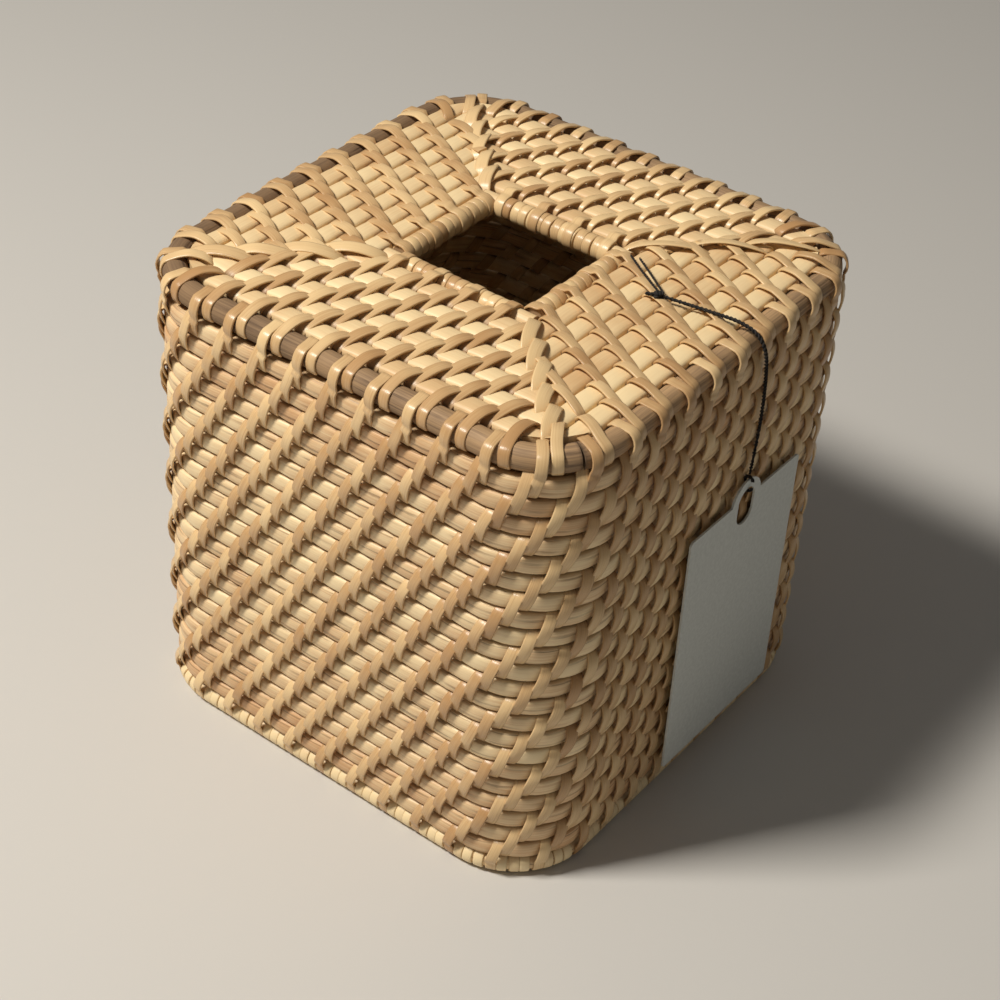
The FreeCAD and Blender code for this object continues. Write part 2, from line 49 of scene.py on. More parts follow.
CAMERA_PLACE = Vector((0.2832, -0.3976, 0.4358))
CAMERA_AIM = Vector((0.0114, -0.0121, 0.0720))
CAMERA_TILT = math.radians(4.05)
CAMERA_LENS = 76.4
CAMERA_SENSOR = 36.0
CAMERA_NEAR = 0.01
LAMP_PLACE = Vector((-0.42, -0.60, 1.14))
LAMP_AIM = Vector((0.0, 0.0, 0.08))
LAMP_SIZE = 0.22
LAMP_POWER = 18.0
LAMP_COLOUR = (1.0, 0.955, 0.88)
SKY_STRENGTH = 0.12
SKY_COLOUR = (1.0, 0.97, 0.92, 1.0)
FLOOR_SIZE = 6.0
FLOOR_COLOUR = (206, 203, 198)
FLOOR_ROUGHNESS = 0.7

scene = bpy.context.scene
scene.view_settings.view_transform = "Standard"


def linear(red, green, blue):
    """A colour in the numbers of a paint chart, from 0 to 255, as light."""
    parts = []
    for part in (red, green, blue):
        share = part / 255
        parts.append(share / 12.92 if share <= 0.04045 else ((share + 0.055) / 1.055) ** 2.4)
    return (*parts, 1.0)


def aim(place, target, tilt=0.0):
    """Turns what looks down its own -Z axis from a place to a target, tilted about its line of sight."""
    turn = (target - place).to_track_quat("-Z", "Y").to_matrix()
    turn = turn @ Matrix.Rotation(tilt, 3, "Z")
    return Matrix.Translation(place) @ turn.to_4x4()


def add(name, data):
    piece = bpy.data.objects.new(name, data)
    scene.collection.objects.link(piece)
    return piece


camera = add("camera", bpy.data.cameras.new("camera"))
camera.data.sensor_width = CAMERA_SENSOR
camera.data.lens = CAMERA_LENS
camera.data.clip_start = CAMERA_NEAR
camera.matrix_world = aim(CAMERA_PLACE, CAMERA_AIM, CAMERA_TILT)
scene.camera = camera

lamp_data = bpy.data.lights.new("window lamp", "AREA")
lamp_data.size = LAMP_SIZE
lamp_data.energy = LAMP_POWER
lamp_data.color = LAMP_COLOUR
lamp = add("window_lamp", lamp_data)
lamp.matrix_world = aim(LAMP_PLACE, LAMP_AIM)

world = bpy.data.worlds.new("sky")
world.use_nodes = True
sky = world.node_tree.nodes["Background"]
sky.inputs["Color"].default_value = SKY_COLOUR
sky.inputs["Strength"].default_value = SKY_STRENGTH
scene.world = world

floor_mesh = bpy.data.meshes.new("floor")
half_floor = FLOOR_SIZE / 2
floor_mesh.from_pydata(
    [(-half_floor, -half_floor, 0), (half_floor, -half_floor, 0), (half_floor, half_floor, 0),
     (-half_floor, half_floor, 0)], [], [(0, 1, 2, 3)])
floor_paint = bpy.data.materials.new("pale floor")
floor_paint.use_nodes = True
floor_shader = floor_paint.node_tree.nodes["Principled BSDF"]
floor_shader.inputs["Base Color"].default_value = linear(*FLOOR_COLOUR)
floor_shader.inputs["Roughness"].default_value = FLOOR_ROUGHNESS
floor_mesh.materials.append(floor_paint)
floor = add("floor", floor_mesh)


# Rods of the walls and the bottom rim: split rattan, flattened ovals bent to rounded squares, one above
# the other. They are the warp that the strips hold, cream to pinkish tan, with fine lengthwise grooves.

class Wire:
    """A socket of a node tree. Sums on it add the nodes that work them out."""

    def __init__(self, tree, socket=None):
        self.tree = tree
        self.socket = socket

    def node(self, kind, settings=None, sockets=None, output=0):
        made = self.tree.nodes.new(kind)
        for name, value in (settings or {}).items():
            setattr(made, name, value)
        for key, value in (sockets or {}).items():
            if isinstance(value, Wire):
                self.tree.links.new(value.socket, made.inputs[key])
            else:
                made.inputs[key].default_value = value
        return Wire(self.tree, made.outputs[output] if len(made.outputs) else None)

    def other(self, name):
        """Another output of the same node."""
        return Wire(self.tree, self.socket.node.outputs[name])

    def math(self, operation, second=0.0):
        return self.node("ShaderNodeMath", {"operation": operation}, {0: self, 1: second})

    def swapped(self, operation, first):
        return self.node("ShaderNodeMath", {"operation": operation}, {0: first, 1: self})

    def __add__(self, value):
        return self.math("ADD", value)

    def __sub__(self, value):
        return self.math("SUBTRACT", value)

    def __rsub__(self, value):
        return self.swapped("SUBTRACT", value)

    def __mul__(self, value):
        return self.math("MULTIPLY", value)

    def __pow__(self, value):
        return self.math("POWER", value)

    def step(self, low, high):
        """0 below low, 1 above high and a smooth rise between them."""
        return self.node("ShaderNodeMapRange", {"interpolation_type": "SMOOTHSTEP"},
                         {0: self, 1: low, 2: high, 3: 0.0, 4: 1.0})

    def vector(self, operation, second=None):
        sockets = {0: self} if second is None else {0: self, 1: second}
        output = 1 if operation == "LENGTH" else 0
        return self.node("ShaderNodeVectorMath", {"operation": operation}, sockets, output)

    def scaled(self, factor):
        return self.node("ShaderNodeVectorMath", {"operation": "SCALE"}, {0: self, "Scale": factor})

    def mix(self, low, high):
        """The colour low where this value is 0, and high where it is 1."""
        return self.node("ShaderNodeMix", {"data_type": "RGBA"}, {0: self, 6: low, 7: high}, output=2)


SOCKETS = {"float": "NodeSocketFloat", "int": "NodeSocketInt", "material": "NodeSocketMaterial"}


def growing_tree(name, inputs):
    """An empty tree of geometry nodes with named inputs, and the wire of its input node."""
    tree = bpy.data.node_groups.new(name, "GeometryNodeTree")
    tree.interface.new_socket("Geometry", in_out="INPUT", socket_type="NodeSocketGeometry")
    tree.interface.new_socket("Geometry", in_out="OUTPUT", socket_type="NodeSocketGeometry")
    for label, kind in inputs.items():
        tree.interface.new_socket(label, in_out="INPUT", socket_type=SOCKETS[kind])
    return Wire(tree).node("NodeGroupInput")


def stored(wire, kind, name):
    """A value that the guide lines carry at each of their points."""
    return wire.node("GeometryNodeInputNamedAttribute", {"data_type": kind}, {"Name": name})


def keep(geometry, kind, name, value):
    return geometry.node("GeometryNodeStoreNamedAttribute", {"data_type": kind, "domain": "POINT"},
                         {"Geometry": geometry, "Name": name, "Value": value})


def oval(start, thickness, width, sides, squareness):
    """The section of a rod or strip, flattened towards a rectangle by a power below 1."""
    circle = start.node("GeometryNodeCurvePrimitiveCircle", {"mode": "RADIUS"},
                        {"Resolution": sides, "Radius": 1.0})
    spot = start.node("GeometryNodeInputPosition")
    circle = keep(circle, "FLOAT_VECTOR", "section", spot)
    spot = start.node("ShaderNodeSeparateXYZ", None, {0: spot})
    across = spot.other("X")
    beside = spot.other("Y")
    across = across.math("SIGN") * across.math("ABSOLUTE") ** squareness * thickness * 0.5
    beside = beside.math("SIGN") * beside.math("ABSOLUTE") ** squareness * width * 0.5
    place = start.node("ShaderNodeCombineXYZ", None, {"X": across, "Y": beside})
    return start.node("GeometryNodeSetPosition", None, {"Geometry": circle, "Position": place})


def swept(start, lines, across, section):
    """Sweeps a section along lines, with its width along across, and ends the tree."""
    curve = start.node("GeometryNodeMeshToCurve", None, {"Mesh": lines})
    facing = across.vector("CROSS_PRODUCT", start.node("GeometryNodeInputTangent"))
    curve = start.node("GeometryNodeSetCurveNormal", {"mode": "FREE"},
                       {"Curve": curve, "Normal": facing.vector("NORMALIZE")})
    run = start.node("GeometryNodeSplineParameter").other("Length")
    curve = keep(curve, "FLOAT", "along", run)
    mesh = start.node("GeometryNodeCurveToMesh", None,
                      {"Curve": curve, "Profile Curve": section, "Fill Caps": True})
    mesh = start.node("GeometryNodeRealizeInstances", None, {"Geometry": mesh})
    mesh = start.node("GeometryNodeSetShadeSmooth", None, {"Geometry": mesh})
    mesh = start.node("GeometryNodeSetMaterial", None,
                      {"Geometry": mesh, "Material": start.other("Material")})
    start.node("NodeGroupOutput", None, {"Geometry": mesh})
    return start.tree


def rod_tree():
    """Rods along guide lines. The strips push them in where they cross and let them out between."""
    start = growing_tree("rods", {
        "Thickness": "float", "Height": "float", "Sides": "int", "Squareness": "float", "Wander": "float",
        "Push": "float", "Material": "material"})
    place = start.node("GeometryNodeInputPosition")
    outward = stored(start, "FLOAT_VECTOR", "outward")
    phase = (stored(start, "FLOAT", "row") - stored(start, "FLOAT", "strip")) * (math.tau / 3)
    push = outward.scaled(phase.math("COSINE") * start.other("Push"))
    drift = start.node("ShaderNodeTexNoise", {"noise_dimensions": "4D"},
                       {"Vector": place, "W": stored(start, "FLOAT", "tone") * 37.0, "Scale": 45.0,
                        "Detail": 1.0}).other("Color")
    drift = drift.vector("SUBTRACT", (0.5, 0.5, 0.5)).scaled(start.other("Wander"))
    lines = start.node("GeometryNodeSetPosition", None,
                       {"Geometry": start, "Offset": drift.vector("ADD", push)})
    section = oval(start, start.other("Thickness"), start.other("Height"), start.other("Sides"),
                   start.other("Squareness"))
    across = start.node("GeometryNodeInputTangent").vector("CROSS_PRODUCT", outward)
    return swept(start, lines, across, section)


def guide(name, lines, values):
    """Guide lines as a mesh of edges. Each point is its place followed by the values that it carries."""
    places = []
    edges = []
    for line in lines:
        first = len(places)
        places.extend(point[0] for point in line)
        edges.extend((number, number + 1) for number in range(first, len(places) - 1))
    mesh = bpy.data.meshes.new(name)
    mesh.from_pydata(places, edges, [])
    for number, label in enumerate(values, start=1):
        column = [point[number] for line in lines for point in line]
        if isinstance(column[0], Vector):
            layer = mesh.attributes.new(label, "FLOAT_VECTOR", "POINT")
            layer.data.foreach_set("vector", [part for value in column for part in value])
        else:
            layer = mesh.attributes.new(label, "FLOAT", "POINT")
            layer.data.foreach_set("value", column)
    return mesh


def grown(name, lines, tree, inputs):
    """Runs a tree on guide lines and keeps what grows as a plain mesh."""
    piece = add(name, lines)
    modifier = piece.modifiers.new("grow", "NODES")
    modifier.node_group = tree
    for item in tree.interface.items_tree:
        if item.in_out == "INPUT" and item.name in inputs:
            modifier[item.identifier] = inputs[item.name]
    graph = bpy.context.evaluated_depsgraph_get()
    mesh = bpy.data.meshes.new_from_object(piece.evaluated_get(graph), depsgraph=graph)
    piece.modifiers.remove(modifier)
    piece.data = mesh
    return piece


def read(wire, name, kind="Fac"):
    """A value that a piece's mesh carries, for its material."""
    return wire.node("ShaderNodeAttribute", {"attribute_name": name}).other(kind)


GRAIN_ALONG = 55.0
GRAIN_ACROSS = 7.0
FIBRE_SHIFT = 91.0
PATCH_SHIFT = 57.0
PATCH_STEP = 13.0
GROOVE_SHIFT = 40.0
SHADE_BASE = 0.15
TONE_SHADE = 0.6
PATCH_SHADE = 1.1
FIBRE_SHADE = 2.0
GROOVE_STAIN = 0.45
# Strength of the painted shade where a strip dives under a rod, and of the darker colour of the cane's skin
# and cut ends.
DIVE_SHADE_AND_STAIN = 0.8
FIBRE_RELIEF = 0.5
GROOVE_RELIEF = 1.2
GRAIN_HEIGHT = 0.00025
FIBRE_ROUGHNESS = 0.3
DIVE_ROUGHNESS = 0.5


def rattan(name, pale, deep, stain_and_shade, grooves=0.0, dull=0.45, streak=0.5, lower_edge_shade=0.0):
    """Rattan, its colour streaked along the fibres, each piece in a tone of its own. Its stain colour also
    serves as painted shade, on a rod's lower edge and on a strip where it dives under a rod; where the lift
    is low on the cane and at cut ends, the same darkening is their own darker colour.
    """
    material = bpy.data.materials.new(name)
    material.use_nodes = True
    tree = material.node_tree
    shader = tree.nodes["Principled BSDF"]
    start = Wire(tree)
    along = read(start, "along")
    tone = read(start, "tone")
    lift = read(start, "lift")
    section = start.node("ShaderNodeSeparateXYZ", None, {0: read(start, "section", "Vector")})
    beside = section.other("Y")
    fibre_place = start.node("ShaderNodeCombineXYZ", None, {
        "X": along * GRAIN_ALONG + tone * FIBRE_SHIFT, "Y": section.other("X") * GRAIN_ACROSS,
        "Z": beside * GRAIN_ACROSS})
    fibre = start.node("ShaderNodeTexNoise", None,
                       {"Vector": fibre_place, "Scale": 1.0, "Detail": 4.0, "Roughness": 0.65})
    patch_place = start.node("ShaderNodeCombineXYZ", None, {
        "X": along * GRAIN_ALONG + tone * PATCH_SHIFT, "Y": tone * PATCH_STEP})
    patch = start.node("ShaderNodeTexNoise", None, {"Vector": patch_place, "Scale": 1.0, "Detail": 2.0})
    shade = tone * TONE_SHADE + (patch - 0.5) * PATCH_SHADE
    shade = shade + (fibre - 0.5) * streak * FIBRE_SHADE + SHADE_BASE
    colour = shade.step(0.0, 1.0).mix(pale, deep)
    height = fibre * FIBRE_RELIEF
    if grooves:
        groove = (beside * grooves + tone * GROOVE_SHIFT + fibre * 2.0).math("SINE").step(0.8, 1.0)
        groove = groove * patch.step(0.4, 0.6)
        colour = (groove * GROOVE_STAIN).mix(colour, stain_and_shade)
        height = height - groove * GROOVE_RELIEF
    # Painted shade: the lower edge of each rod is darkened towards the stain colour, as if shaded by the rod
    # above.
    if lower_edge_shade:
        colour = (beside.step(0.85, 1.0) * lower_edge_shade).mix(colour, stain_and_shade)
    # Painted shade where a strip dives under a rod and its lift is near zero; on the cane and at cut ends the
    # same darkening is their own darker colour.
    dive_shade_and_stain = 1.0 - lift.math("ABSOLUTE").step(0.0, 0.8)
    colour = (dive_shade_and_stain * DIVE_SHADE_AND_STAIN).mix(colour, stain_and_shade)
    bump = start.node("ShaderNodeBump", None, {"Strength": 0.5, "Distance": GRAIN_HEIGHT, "Height": height})
    tree.links.new(colour.socket, shader.inputs["Base Color"])
    tree.links.new(bump.socket, shader.inputs["Normal"])
    roughness = (fibre - 0.5) * FIBRE_ROUGHNESS + dive_shade_and_stain * DIVE_ROUGHNESS + dull
    tree.links.new(roughness.socket, shader.inputs["Roughness"])
    return material


SIDES = ("front", "right", "back", "left")
CORNERS = ("front_right", "back_right", "back_left", "front_left")
WALL_ROWS = 22
ROD_THICKNESS = 0.0034
ROD_SWELL = 0.0003
ROD_TONE = 0.75
ROD_TONE_DIP = 0.5
ROD_TONE_SPREAD = 0.2
ROD_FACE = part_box("wall_rod_01")[1][0]
BEND_CENTRE = 0.047
PER_SIDE = 24
PER_CORNER = 9
PER_QUARTER = PER_SIDE + PER_CORNER
STRIP_STEP = 2 * BEND_CENTRE / PER_SIDE
STRAIGHT_STEPS = 64
BEND_STEPS = 24
ROD_VALUES = ("outward", "tone", "lift", "row", "strip")
chance = random.Random(5)


def level_of(node):
    low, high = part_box(node)
    return (low[2] + high[2]) / 2


def quarter_turn(number):
    """Turns what is laid out on the front to another side, in the order of SIDES."""
    return Matrix.Rotation(number * math.pi / 2, 3, "Z")


def ring_line(half, level, tone, row):
    """Points round a rounded square, each with its outward direction and the strip that crosses it there.
    The rod's ends meet at the back left corner."""
    bend = half - BEND_CENTRE
    points = []
    for number in (3, 0, 1, 2):
        turn = quarter_turn(number)
        for step in range(STRAIGHT_STEPS):
            share = step / STRAIGHT_STEPS
            place = Vector(((share * 2 - 1) * BEND_CENTRE, -half, level))
            strip = number * PER_QUARTER + share * PER_SIDE - 0.5
            points.append((turn @ place, turn @ Vector((0, -1, 0)), tone, 1.0, row, strip))
        for step in range(BEND_STEPS):
            share = step / BEND_STEPS
            angle = share * math.pi / 2
            outward = Vector((math.sin(angle), -math.cos(angle), 0))
            place = Vector((BEND_CENTRE, -BEND_CENTRE, level)) + outward * bend
            strip = number * PER_QUARTER + PER_SIDE + share * PER_CORNER - 0.5
            points.append((turn @ place, turn @ outward, tone, 1.0, row, strip))
    return points + points[:1]


rods = rod_tree()
# The last colour is the stain of the grooves and also the painted shade on each rod's lower edge.
rod_wood = rattan("split rattan", linear(248, 224, 178), linear(206, 158, 110), linear(92, 58, 32),
                  grooves=6.0, lower_edge_shade=0.8)
for row in range(1, WALL_ROWS + 1):
    node = f"wall_rod_{row:02d}"
    low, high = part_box(node)
    tone = ROD_TONE - ROD_TONE_DIP * math.sin(math.pi * row / WALL_ROWS)
    tone += chance.uniform(-ROD_TONE_SPREAD, ROD_TONE_SPREAD)
    line = ring_line(ROD_FACE - ROD_THICKNESS / 2, level_of(node), tone, float(row))
    piece = grown(node + "_split", guide(node, [line], ROD_VALUES), rods,
                  {"Thickness": ROD_THICKNESS, "Height": high[2] - low[2] + ROD_SWELL, "Sides": 16,
                   "Squareness": 0.52, "Wander": 0.0007, "Push": 0.0002, "Material": rod_wood})
    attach(piece, "cover")
    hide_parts(node)

RIM_LEVEL = 0.0034
RIM_SIZE = 0.0048
RIM_MIDDLE = ROD_FACE - RIM_SIZE / 2
rim_line = ring_line(RIM_MIDDLE, RIM_LEVEL, tone=0.2, row=0.0)
rim_rod = grown("bottom_rim", guide("bottom_rim", [rim_line], ROD_VALUES), rods,
                {"Thickness": RIM_SIZE, "Height": RIM_SIZE, "Sides": 16, "Squareness": 0.9, "Wander": 0.0003,
                 "Material": rod_wood})
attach(rim_rod, "cover")
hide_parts("bottom_rim_rod")


# Top edge: one thick brown cane with its skin left on, bent round the top of the walls.
# Its colour runs from grey-brown on the left to tan at the front right corner, where its cut ends meet.

EDGE_SIZE = 0.0070
EDGE_MIDDLE = ROD_FACE - EDGE_SIZE / 2
EDGE_LEVEL = level_of("top_edge_rod")
EDGE_LIFT = 0.45
EDGE_LIFT_GAIN = 3.0
EDGE_CUT_STEP = 16
EDGE_CUT_SHARE = 0.6
CUT_LIFT = 0.2
cane = rattan("brown cane", linear(190, 154, 112), linear(116, 93, 72), linear(84, 64, 48),
              grooves=9.0, dull=0.58, streak=0.7)
edge_ring = ring_line(EDGE_MIDDLE, EDGE_LEVEL, tone=0.5, row=0.0)[:-1]
edge_cut = 2 * STRAIGHT_STEPS + BEND_STEPS + EDGE_CUT_STEP
edge_line = []
for place, outward, tone, _, row, strip in edge_ring[edge_cut:] + edge_ring[:edge_cut]:
    edge_line.append((place, outward, tone, EDGE_LIFT + EDGE_LIFT_GAIN * place.x, row, strip))
edge_end = edge_line[-1][0].lerp(edge_line[0][0], EDGE_CUT_SHARE)
edge_line.append((edge_end, *edge_line[-1][1:3], CUT_LIFT, 0.0, 0.0))
edge_line[0] = (*edge_line[0][:3], CUT_LIFT, 0.0, 0.0)
edge = grown("top_edge_cane", guide("top_edge_cane", [edge_line], ROD_VALUES), rods,
             {"Thickness": EDGE_SIZE, "Height": EDGE_SIZE, "Sides": 20, "Squareness": 1.0, "Wander": 0.0008,
              "Material": cane})
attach(edge, "cover")
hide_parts("top_edge_rod")


# Rods of the top: six smooth cream rods on each side of the opening, laid side by side and mitred
# where two panels meet on a diagonal.

TOP_ROWS = 6
TOP_THICKNESS = 0.0034
TOP_LEVEL = level_of("top_rods_front")
TOP_GAP = 0.0008
MITRE_GAP = 0.0002
MITRE_PART = 0.6
TOP_STEPS = 6
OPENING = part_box("opening_wraps_front")
RIM_OUT = {"front": -OPENING[0][1], "back": -OPENING[0][1]}
RIM_OUT["right"] = RIM_OUT["left"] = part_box("opening_wraps_right")[1][0]
EDGE_IN = ROD_FACE - EDGE_SIZE
smooth_wood = rattan("peeled rattan", linear(242, 217, 170), linear(210, 172, 124), linear(120, 82, 52),
                     streak=0.3)


def neighbour(side):
    """A side square to this one. Opposite sides are alike."""
    return "right" if side in ("front", "back") else "front"


def top_pitch(side):
    return (EDGE_IN - RIM_OUT[side]) / TOP_ROWS


def mitre_half(side, reach):
    """Half length of a panel at some reach from the middle, up to its diagonals or the edge's bend."""
    beside = neighbour(side)
    share = (reach - RIM_OUT[side]) / (EDGE_IN - RIM_OUT[side])
    half = RIM_OUT[beside] + share * (EDGE_IN - RIM_OUT[beside])
    past = max(0.0, reach - BEND_CENTRE)
    bend = EDGE_IN - BEND_CENTRE
    return min(half, BEND_CENTRE + math.sqrt(max(0.0, bend ** 2 - past ** 2)))


def row_reach(side, number):
    """Reach of a top rod's middle line, counted from the edge inwards."""
    return EDGE_IN - (number + 0.5) * top_pitch(side)


for quarter, side in enumerate(SIDES):
    turn = quarter_turn(quarter)
    pitch = top_pitch(side)
    lines = []
    for number in range(TOP_ROWS):
        reach = row_reach(side, number)
        half = mitre_half(side, reach)
        straight = half - MITRE_PART * pitch
        tone = chance.uniform(0.0, 0.8)
        row = float(WALL_ROWS + 2 + number)
        count = max(4, int(straight / STRIP_STEP * TOP_STEPS))
        shifts = [(step / count * 2 - 1) * straight for step in range(count + 1)]
        line = []
        for shift in [-half, *shifts, half]:
            strip = quarter * PER_QUARTER + (shift + BEND_CENTRE) / STRIP_STEP - 0.5
            place = turn @ Vector((shift, -reach, TOP_LEVEL))
            line.append((place, Vector((0, 0, 1)), tone, 1.0, row, strip))
        lines.append(line)
    name = f"top_rods_{side}"
    piece = grown(name + "_peeled", guide(name, lines, ROD_VALUES), rods,
                  {"Thickness": TOP_THICKNESS, "Height": pitch - TOP_GAP / 2, "Sides": 16, "Squareness": 0.66,
                   "Wander": 0.0005, "Push": 0.00015, "Material": smooth_wood})
    for point in piece.data.vertices:
        spot = turn.inverted() @ point.co
        number = round((EDGE_IN + spot.y) / pitch - 0.5)
        if abs(spot.x) > mitre_half(side, row_reach(side, number)) - MITRE_PART / 2 * pitch:
            spot.x = math.copysign(mitre_half(side, -spot.y) - MITRE_GAP, spot.x)
            point.co = turn @ spot
    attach(piece, "cover")
    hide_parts(name)


# Rim of the opening: four rods, the front and back ones run through and show their cut ends, and each is
# wound tightly with peel.

BAR_SIZE = 0.0050
BAR_LEVEL = level_of("opening_rod_front")
for side in SIDES:
    node = f"opening_rod_{side}"
    low, high = (Vector(corner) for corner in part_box(node))
    middle = (low + high) / 2
    axis = 1 if side in ("right", "left") else 0
    line = []
    for share, lift in ((0.0, CUT_LIFT), (0.01, 1.0), (0.5, 1.0), (0.99, 1.0), (1.0, CUT_LIFT)):
        place = middle.copy()
        place[axis] = low[axis] + (high[axis] - low[axis]) * share
        line.append((place, Vector((0, 0, 1)), 0.5, lift, 0.0, 0.0))
    piece = grown(node + "_round", guide(node, [line], ROD_VALUES), rods,
                  {"Thickness": BAR_SIZE, "Height": BAR_SIZE, "Sides": 20, "Squareness": 1.0, "Wander": 0.0,
                   "Material": smooth_wood})
    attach(piece, "cover")
    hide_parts(node)

# Its last colour is the painted shade where the strips dive under the rods.
peel = rattan("peel", linear(230, 198, 148), linear(182, 140, 94), linear(70, 42, 24), dull=0.3)
WRAP_WIDTH = 0.0027
WRAP_THICKNESS = 0.0007
WRAP_SPANS = (0.038, 0.036, 0.038, 0.036)
WRAP_LEAN = 0.0004
BAND_STEPS = 20


def band(middle, axis, radius, tone, lean):
    """A closed turn of peel round a rod that runs along an axis, slightly askew."""
    line = []
    up = Vector((0, 0, 1))
    beside = up.cross(axis)
    for step in range(BAND_STEPS + 1):
        angle = math.pi + step / BAND_STEPS * math.tau
        outward = up * math.cos(angle) + beside * math.sin(angle)
        place = middle + outward * radius + axis * lean * math.sin(angle)
        line.append((place, outward, tone, 1.0, 0.0, 0.0))
    return line


for quarter, side in enumerate(SIDES):
    node = f"opening_wraps_{side}"
    low, high = (Vector(corner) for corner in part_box(f"opening_rod_{side}"))
    middle = (low + high) / 2
    axis = quarter_turn(quarter) @ Vector((1, 0, 0))
    span = WRAP_SPANS[quarter]
    count = int(span / WRAP_WIDTH)
    lines = []
    for number in range(count):
        shift = ((number + 0.5) / count - 0.5) * span
        lines.append(band(middle + axis * shift, axis, BAR_SIZE / 2 + WRAP_THICKNESS / 2, chance.random(),
                          chance.uniform(-WRAP_LEAN, WRAP_LEAN)))
    piece = grown(node + "_peel", guide(node, lines, ROD_VALUES), rods,
                  {"Thickness": WRAP_THICKNESS, "Height": WRAP_WIDTH, "Sides": 10, "Squareness": 0.5,
                   "Wander": 0.0003, "Material": peel})
    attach(piece, "cover")
    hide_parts(node)


# Peel strips: the weft. Each crosses two rods and dives under the third, one row higher than its
# neighbour, from the bottom rim up the wall, over the edge cane and in to the opening or a diagonal.

STRIP_WIDTH = 0.0031
STRIP_THICKNESS = 0.0007
WALL_LEAN = 0.0019
TOP_LEAN = 0.0021
STRIP_TILT = math.radians(6)
STRIP_ARCH = 1.42
STRIP_FULLNESS = 0.46
STRIP_SLOPE = 0.3
STRIP_SIDES = 10
STRIP_SQUARENESS = 0.4
ROW_STEPS = 11


def strip_tree():
    """Strips along guide lines, over two rods and under the third. On the top they tilt the other way."""
    start = growing_tree("twill strips", {"Width": "float", "Thickness": "float", "Tilt": "float",
                                          "Wander": "float", "Material": "material"})
    row = stored(start, "FLOAT", "row")
    strip = stored(start, "FLOAT", "strip")
    reach = stored(start, "FLOAT", "reach")
    hold = stored(start, "FLOAT", "hold")
    outward = stored(start, "FLOAT_VECTOR", "outward")
    sideways = stored(start, "FLOAT_VECTOR", "sideways")
    phase = (row - strip).math("FLOORED_MODULO", 3.0)
    near = phase.math("MINIMUM", 3.0 - phase)
    over = ((near - 0.5) * (math.pi / 2)).math("SINE").math("MAXIMUM", 0.0)
    under = (near * math.pi).math("COSINE").math("MAXIMUM", 0.0)
    arch = over ** STRIP_FULLNESS * ((phase - 1.5) * STRIP_SLOPE + 1.0) * STRIP_ARCH
    wave = arch - under ** STRIP_FULLNESS
    wave = wave + (1.0 - wave) * hold
    side = (phase - 1.5).math("SIGN") * (1.0 - hold)
    lean = side * (near * 2.0).math("MINIMUM", 1.5 - near) * stored(start, "FLOAT", "lean")
    shake = start.node("ShaderNodeTexNoise", {"noise_dimensions": "2D"}, {
        "Vector": start.node("ShaderNodeCombineXYZ", None, {"X": row * 0.6, "Y": strip * 5.3}), "Scale": 1.0,
        "Detail": 1.0})
    lean = lean + (shake - 0.5) * start.other("Wander")
    offset = outward.scaled(wave * reach).vector("ADD", sideways.scaled(lean))
    lines = start.node("GeometryNodeSetPosition", None, {"Geometry": start, "Offset": offset})
    # The lift is read by the peel's colour, which paints shade where the strip dives under a rod.
    lines = keep(lines, "FLOAT", "lift", wave)
    flat = start.node("ShaderNodeSeparateXYZ", None, {0: outward}).other("Z")
    tilt = wave.step(-0.4, 0.8) * start.other("Tilt") * (1.0 - hold) * (1.0 - flat * 2.0)
    across = sideways.scaled(tilt.math("COSINE")).vector("ADD", outward.scaled(tilt.math("SINE")))
    lines = keep(lines, "FLOAT_VECTOR", "across", across)
    section = oval(start, start.other("Thickness"), start.other("Width"), STRIP_SIDES, STRIP_SQUARENESS)
    return swept(start, lines, stored(start, "FLOAT_VECTOR", "across"), section)


twill = strip_tree()
HALF_STRIP = STRIP_THICKNESS / 2
OVER_WALL = ROD_THICKNESS / 2 + HALF_STRIP
OVER_TOP = TOP_THICKNESS / 2 + HALF_STRIP
OVER_EDGE = EDGE_SIZE / 2 + HALF_STRIP
OVER_RIM = RIM_SIZE / 2 + HALF_STRIP
OVER_BAR = BAR_SIZE / 2 + WRAP_THICKNESS
BAR_GAP = 0.0001
UP = 0.0
OUT = math.pi / 2
EDGE_FOOT = OUT * 1.4
EDGE_ROW = WALL_ROWS + 1
BAR_ROW = EDGE_ROW + TOP_ROWS + 1


def weave_rows(side):
    """The rows that a strip crosses: number, reach, level, facing and room to the strip's middle."""
    rows = [
        (-1.0, RIM_MIDDLE, RIM_LEVEL, OUT * 3, OVER_RIM),
        (-0.5, RIM_MIDDLE, RIM_LEVEL, OUT * 2, OVER_RIM),
        (0.0, RIM_MIDDLE, RIM_LEVEL, OUT, OVER_RIM),
    ]
    for row in range(1, WALL_ROWS + 1):
        level = level_of(f"wall_rod_{row:02d}")
        rows.append((row, ROD_FACE - ROD_THICKNESS / 2, level, OUT, OVER_WALL))
    rows.append((EDGE_ROW - 0.5, EDGE_MIDDLE, EDGE_LEVEL, EDGE_FOOT, OVER_EDGE))
    rows.append((EDGE_ROW, EDGE_MIDDLE, EDGE_LEVEL, OUT / 2, OVER_EDGE))
    for number in range(TOP_ROWS):
        rows.append((EDGE_ROW + 1 + number, row_reach(side, number), TOP_LEVEL, UP, OVER_TOP))
    bar = RIM_OUT[side] - WRAP_THICKNESS - BAR_GAP - BAR_SIZE / 2
    rows.append((BAR_ROW, bar, BAR_LEVEL, UP, OVER_BAR))
    rows.append((BAR_ROW + 0.5, bar, BAR_LEVEL, -OUT, OVER_BAR))
    rows.append((BAR_ROW + 1, bar, BAR_LEVEL, -OUT * 2, OVER_BAR))
    return rows


